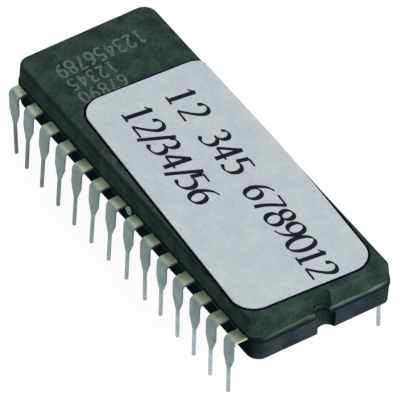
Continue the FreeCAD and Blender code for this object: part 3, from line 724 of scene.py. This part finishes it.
def write(name, lines, nib, thin, slant, wide, lay, material):
    """Print: each stroke is a thin closed strip, as high as the ink, laid on the surface by a function.

    A line is its text, the start and baseline of its groups, the height of a figure and its advance.
    Wide stretches the figures along the line. Each stroke of a figure lies a little higher than the
    one before it and climbs on its way, so that no two faces lie in one plane where strokes cross.
    """
    points, faces = [], []
    for text, start, baseline, height, advance in lines:
        for place, figure in enumerate(text):
            for order, knots in enumerate(FIGURES.get(figure, [])):
                left, right = stroke(knots, nib, thin, slant)
                sides = np.stack([left, left, right, right], axis=1) * height
                along = sides[..., 0] * wide + start + place * advance
                build_up = 1 + STROKE_RISE * order + CLIMB_RISE * np.linspace(0, 1, len(left))[:, None]
                lift = np.array((0.0, 1.0, 1.0, 0.0)) * build_up
                rings = lay(along, sides[..., 1] + baseline, lift)[:, ::-1]
                faces += skin(*rings.shape[:2], first=len(points))
                points += rings.reshape(-1, 3).tolist()
    finished(name, points, faces, material)


# Materials

# Sockets of the mix node that hold its two colours and what it makes of them.
FIRST_COLOUR = 6
SECOND_COLOUR = 7
MIXED_COLOUR = 2
# Alumina has an index of about 1.76 and such solder glass about 1.8 to 2. Both are matched to the photo
# instead, where the slanted walls stay near black over a white floor.
DARK_INDEX = 1.2
DARK_GLOSS = 0.03


def linear(code):
    """An sRGB hex colour as linear light with full cover."""
    parts = np.array([int(code[place:place + 2], 16) for place in (1, 3, 5)]) / 255
    low, high = parts / 12.92, ((parts + 0.055) / 1.055) ** 2.4
    return (*np.where(parts <= 0.04045, low, high).tolist(), 1.0)


def feed(tree, node, links):
    """Give a node's inputs values, or other nodes' outputs."""
    for name, value in links.items():
        if isinstance(value, bpy.types.NodeSocket):
            tree.links.new(value, node.inputs[name])
        else:
            node.inputs[name].default_value = value


def add(tree, kind, settings=None, links=None):
    """Add a node with its settings, and feed its inputs."""
    node = tree.nodes.new(kind)
    for name, value in (settings or {}).items():
        setattr(node, name, value)
    feed(tree, node, links or {})
    return node


def noise(tree, place, size, detail):
    """Cloudy noise about 0.5, whose clouds are about as wide as the size in millimetres."""
    links = {"Vector": place, "Scale": 1 / (size * MM), "Detail": detail}
    return add(tree, "ShaderNodeTexNoise", None, links).outputs["Fac"]


def remap(tree, value, given, wanted=(0.0, 1.0)):
    """A value carried in a straight line from one span to another, and held at its ends."""
    links = {"Value": value, "From Min": given[0], "From Max": given[1]}
    links.update({"To Min": wanted[0], "To Max": wanted[1]})
    return add(tree, "ShaderNodeMapRange", None, links).outputs[0]


def blend(tree, share, first, second):
    """A colour that passes from the first to the second as the share goes from 0 to 1."""
    links = {"Factor": share, FIRST_COLOUR: first, SECOND_COLOUR: second}
    return add(tree, "ShaderNodeMix", {"data_type": "RGBA"}, links).outputs[MIXED_COLOUR]


def scaled(tree, colour, factor):
    """A colour made lighter or darker by a factor."""
    links = {0: colour, "Scale": factor}
    return add(tree, "ShaderNodeVectorMath", {"operation": "SCALE"}, links).outputs[0]


def painted_light_share(tree):
    """The painted light and shade that a mesh carries at its points, from 0 to 1."""
    return add(tree, "ShaderNodeAttribute", {"attribute_name": "painted_light"}).outputs["Fac"]


def relief(tree, height, strength, depth):
    """A normal that shows small bumps in the finish, as high as the depth in millimetres."""
    links = {"Height": height, "Strength": strength, "Distance": depth * MM}
    return add(tree, "ShaderNodeBump", None, links).outputs[0]


def new_material(name):
    """A material with its shader, and the object coordinates that its patterns read."""
    material = bpy.data.materials.new(name)
    material.use_nodes = True
    tree = material.node_tree
    return material, tree, tree.nodes["Principled BSDF"], add(tree, "ShaderNodeTexCoord").outputs["Object"]


def pressed_ceramic(name, dark, light, stain):
    """Black alumina ceramic, dry pressed and fired: matt, with fine grain, greyer stains and painted shade.
    """
    material, tree, shader, place = new_material(name)
    cloud = noise(tree, place, 1.6, 4.0)
    grain = noise(tree, place, 0.22, 3.0)
    mixed = add(tree, "ShaderNodeMath", {"operation": "MULTIPLY_ADD"}, {0: grain, 1: 0.6, 2: cloud})
    colour = blend(tree, remap(tree, mixed.outputs[0], (0.66, 0.94)), linear(dark), linear(light))
    patches = remap(tree, noise(tree, place, 0.9, 2.0), (0.45, 0.75), (0.0, 0.6))
    colour = blend(tree, patches, colour, linear(stain))
    # Painted shade: near black where the mesh carries it, on the cap's rim and the base's long walls.
    feed(tree, shader, {
        "Base Color": blend(tree, painted_light_share(tree), colour, linear("#0B1E21")),
        "Roughness": remap(tree, grain, (0.0, 1.0), (0.60, 0.85)),
        "IOR": DARK_INDEX,
        "Specular IOR Level": DARK_GLOSS,
        "Normal": relief(tree, grain, 0.5, 0.03),
    })
    return material


def solder_glass():
    """Lead-borate solder glass, fired to a dull dark frit, with a painted highlight on its upper edge."""
    material, tree, shader, place = new_material("fired_solder_glass")
    frit = noise(tree, place, 0.5, 3.0)
    colour = blend(tree, frit, linear("#0C171B"), linear("#1A292D"))
    # Painted highlight: pale where the mesh carries it.
    feed(tree, shader, {
        "Base Color": blend(tree, painted_light_share(tree), colour, linear("#828F86")),
        "Roughness": 0.45,
        "IOR": DARK_INDEX,
        "Specular IOR Level": DARK_GLOSS,
        "Normal": relief(tree, frit, 0.4, 0.03),
    })
    return material


def tinned_alloy():
    """Nickel-iron alloy, stamped and tin plated: dull and grey, with painted light by place.

    The shoulders' flat tops are painted lighter and yellower than the legs, as lit from above. Towards
    the notched end the blades are painted paler and the shoulders darker, as in the photo.
    """
    material, tree, shader, place = new_material("dull_tin_plate")
    parts = add(tree, "ShaderNodeSeparateXYZ", None, {"Vector": place}).outputs
    # Painted light: the shoulders, the legs and the blades each get their own colour by height, and it
    # changes along X.
    on_shoulder = remap(tree, parts["Z"], (6.17 * MM, 6.29 * MM))
    on_blade = remap(tree, parts["Z"], (3.8 * MM, 2.4 * MM))
    to_notch = remap(tree, parts["X"], (-16 * MM, 12 * MM))
    shoulder = blend(tree, to_notch, linear("#B5C1AE"), linear("#99A991"))
    blade = blend(tree, to_notch, linear("#6D7E7D"), linear("#B3BFC5"))
    colour = blend(tree, on_shoulder, linear("#829494"), shoulder)
    colour = blend(tree, on_blade, colour, blade)
    stain = noise(tree, place, 0.9, 4.0)
    colour = scaled(tree, colour, remap(tree, stain, (0.35, 0.7), (0.75, 1.1)))
    # Painted highlight: the pale sheet edge of one lead's shoulder, where its mesh carries it.
    feed(tree, shader, {
        "Base Color": blend(tree, painted_light_share(tree), colour, linear("#D2D5B8")),
        "Metallic": 1.0,
        "Roughness": remap(tree, stain, (0.0, 1.0), (0.38, 0.6)),
        "Normal": relief(tree, stain, 0.3, 0.02),
    })
    return material


def label_paper():
    """Uncoated label paper: pale and cool, with the faint mottle of its fibres."""
    material, tree, shader, place = new_material("uncoated_label_paper")
    fibre = noise(tree, place, 0.30, 3.0)
    cloud = noise(tree, place, 1.8, 2.0)
    both = add(tree, "ShaderNodeMath", {"operation": "ADD"}, {0: fibre, 1: cloud})
    mottle = remap(tree, both.outputs[0], (0.7, 1.3))
    feed(tree, shader, {
        "Base Color": blend(tree, mottle, linear("#BBC2C8"), linear("#C9D0D4")),
        "Roughness": 0.8,
        "Specular IOR Level": 0.25,
        "Normal": relief(tree, fibre, 0.4, 0.01),
    })
    return material


def printing_ink():
    """Black toner on paper, a little less matt than the sheet, with hardly any gloss."""
    material, tree, shader, place = new_material("black_toner")
    feed(tree, shader, {
        "Base Color": blend(tree, noise(tree, place, 0.2, 2.0), linear("#080C16"), linear("#131A28")),
        "Roughness": 0.7,
        "Specular IOR Level": 0.1,
    })
    return material


def marking_paint():
    """Thin grey-green marking paint, rubbed, so that the ceramic seems to show through it in places."""
    material, tree, shader, place = new_material("rubbed_marking_paint")
    share = remap(tree, noise(tree, place, 0.35, 3.0), (0.35, 0.65))
    feed(tree, shader, {
        "Base Color": blend(tree, share, linear("#384643"), linear("#53635E")),
        "Roughness": 0.6,
    })
    return material


def plain_finish(name, code, roughness, metallic=0.0, gloss=0.5):
    """A plain finish with a faint change of tone: hidden pieces, the painted shadow line, the drop of glass.
    """
    material, tree, shader, place = new_material(name)
    tone = remap(tree, noise(tree, place, 0.4, 3.0), (0.0, 1.0), (0.85, 1.1))
    feed(tree, shader, {
        "Base Color": scaled(tree, linear(code)[:3], tone),
        "Roughness": roughness,
        "Metallic": metallic,
        "Specular IOR Level": gloss,
    })
    return material


cap_material = pressed_ceramic("black_alumina", "#273532", "#3B4D47", "#3E3F3B")
base_material = pressed_ceramic("black_alumina_lower", "#222D31", "#374549", "#373A3F")
glass_material = solder_glass()
lead_material = tinned_alloy()
paper_material = label_paper()

make_cap(cap_material)
make_base(base_material)
make_seal(glass_material)
for number in range(1, 2 * PER_ROW + 1):
    make_lead(number, lead_material)
make_spill(plain_finish("pale_spilt_glass", "#8FA3AA", roughness=0.4))

label_sheet("label_paper", grow=0.0, low=0.0, high=PAPER, material=paper_material,
            replaced=["label"])
# Painted shadow: a near-black sheet just wider than the label, seen as a dark line round its edge.
painted_shadow_line = plain_finish("label_painted_shadow", "#08101E", roughness=0.8, gloss=0.0)
label_sheet("label_shadow_line", grow=SHADOW_LINE_MARGIN, low=-SHADOW_LINE_LIFT, high=SHADOW_LINE_LIFT, material=painted_shadow_line)

# Each line's text, its start and baseline on the surface, the height of a figure and its advance.
label_lines = [
    ("12", -11.30, 0.60, 2.40, 2.10),
    ("345", -5.75, 0.60, 2.40, 1.85),
    ("6789012", 1.30, 0.60, 2.40, 1.70),
    ("12", -11.25, -3.50, 2.45, 1.85),
    ("/", -7.72, -3.50, 2.45, 1.0),
    ("34", -6.95, -3.50, 2.45, 1.85),
    ("/", -3.22, -3.50, 2.45, 1.0),
    ("56", -2.35, -3.50, 2.45, 1.85),
]
marking_lines = [
    ("123456789", -3.94, -15.62, 1.52, 0.935),
    ("12345", -0.10, -13.70, 1.36, 0.92),
    ("67890", -0.10, -11.95, 1.32, 0.92),
]
broad_nib = np.array([0.15, 0.05])
no_nib = np.array([0.0, 0.0])
write("label_print", label_lines, broad_nib, thin=0.055, slant=0.06, wide=1.18, lay=on_label,
      material=printing_ink())
write("cap_marking", marking_lines, no_nib, thin=0.16, slant=0.0, wide=0.92, lay=on_far_end,
      material=marking_paint())

inner = {
    "window": plain_finish("fused_quartz", "#C8D0D0", roughness=0.08),
    "die_attach": plain_finish("fired_silver_glass", "#A79C86", roughness=0.5, metallic=0.6),
    "die": plain_finish("polished_silicon", "#4A5060", roughness=0.15, metallic=0.4),
    "bond_wires": plain_finish("aluminium_wire", "#C9C9C7", roughness=0.3, metallic=1.0),
}
for node, material in inner.items():
    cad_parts[node].data.materials.clear()
    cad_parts[node].data.materials.append(material)


# Floor, light and camera

# The floor is 6 m square. What the camera and gloss see of it is mostly its own white light, and what
# lights the chip from it is this grey.
FLOOR_SIZE = 6.0
FLOOR_LIGHT_SHARE = 0.75
FLOOR_LIGHT = 1.25
FLOOR_GREY = 0.36
# The room's brightness as light on the chip, and as seen.
ROOM_LIGHT = 0.58
ROOM_SEEN = 1.0
# The camera that was fitted to the photo's leads: degrees round and up, focal length and sensor in
# millimetres, place in metres.
CAMERA_ROUND = 57.3922
CAMERA_UP = 44.7947
FOCAL_LENGTH = 790.85
SENSOR = 36
CAMERA_PLACE = (0.42467, -0.27143, 0.50436)


def seen_directly(tree):
    """1 for rays of the camera, of gloss and through clear pieces, and 0 for those that bring light."""
    path = add(tree, "ShaderNodeLightPath").outputs
    seen = add(tree, "ShaderNodeMath", {"operation": "MAXIMUM"},
               {0: path["Is Camera Ray"], 1: path["Is Glossy Ray"]})
    return add(tree, "ShaderNodeMath", {"operation": "MAXIMUM"},
               {0: seen.outputs[0], 1: path["Is Transmission Ray"]}).outputs[0]


def make_floor():
    """Plain white floor: seen directly or in gloss it is white, and it keeps the chip's soft shadow."""
    bpy.ops.mesh.primitive_plane_add(size=FLOOR_SIZE, location=(0, 0, 0))
    floor = bpy.context.object
    floor.name = "floor"
    material = bpy.data.materials.new("white_paper_floor")
    material.use_nodes = True
    tree = material.node_tree
    tree.nodes.clear()
    share = add(tree, "ShaderNodeMath", {"operation": "MULTIPLY"},
                {0: seen_directly(tree), 1: FLOOR_LIGHT_SHARE})
    matt = add(tree, "ShaderNodeBsdfDiffuse", None, {"Color": (FLOOR_GREY, FLOOR_GREY, FLOOR_GREY, 1)})
    white = add(tree, "ShaderNodeEmission", None, {"Color": (1, 1, 1, 1), "Strength": FLOOR_LIGHT})
    both = add(tree, "ShaderNodeMixShader", None,
               {0: share.outputs[0], 1: matt.outputs[0], 2: white.outputs[0]})
    add(tree, "ShaderNodeOutputMaterial", None, {"Surface": both.outputs[0]})
    floor.data.materials.append(material)


def make_light(name, place, size, power):
    """A square soft light that faces the middle of the floor under the chip."""
    lamp = bpy.data.lights.new(name, "AREA")
    lamp.shape = "SQUARE"
    lamp.size = size
    lamp.energy = power
    light = bpy.data.objects.new(name, lamp)
    bpy.context.scene.collection.objects.link(light)
    light.location = place
    light.rotation_euler = (-Vector(place)).to_track_quat("-Z", "Y").to_euler()


def make_world():
    """Even pale surroundings: white where the camera or a gloss sees them, softer as light."""
    world = bpy.data.worlds.new("pale_room")
    bpy.context.scene.world = world
    world.use_nodes = True
    tree = world.node_tree
    tree.nodes.clear()
    strength = remap(tree, seen_directly(tree), (0.0, 1.0), (ROOM_LIGHT, ROOM_SEEN))
    sky = add(tree, "ShaderNodeBackground", None, {"Color": (1, 1, 1, 1), "Strength": strength})
    add(tree, "ShaderNodeOutputWorld", None, {"Surface": sky.outputs[0]})


def make_camera():
    """The photo's view: a long lens from 57 degrees round and 45 degrees up, with no roll."""
    camera = bpy.data.cameras.new("camera")
    camera.sensor_width = SENSOR
    camera.lens = FOCAL_LENGTH
    view = bpy.data.objects.new("camera", camera)
    bpy.context.scene.collection.objects.link(view)
    view.location = CAMERA_PLACE
    view.rotation_euler = (math.radians(90 - CAMERA_UP), 0, math.radians(CAMERA_ROUND))
    bpy.context.scene.camera = view


make_floor()
make_light("key", (0.76, 0.27, 0.42), size=0.5, power=6.0)
make_light("overhead", (-0.1, 0.0, 1.0), size=0.8, power=0.55)
make_world()
make_camera()
bpy.context.scene.view_settings.view_transform = "Standard"
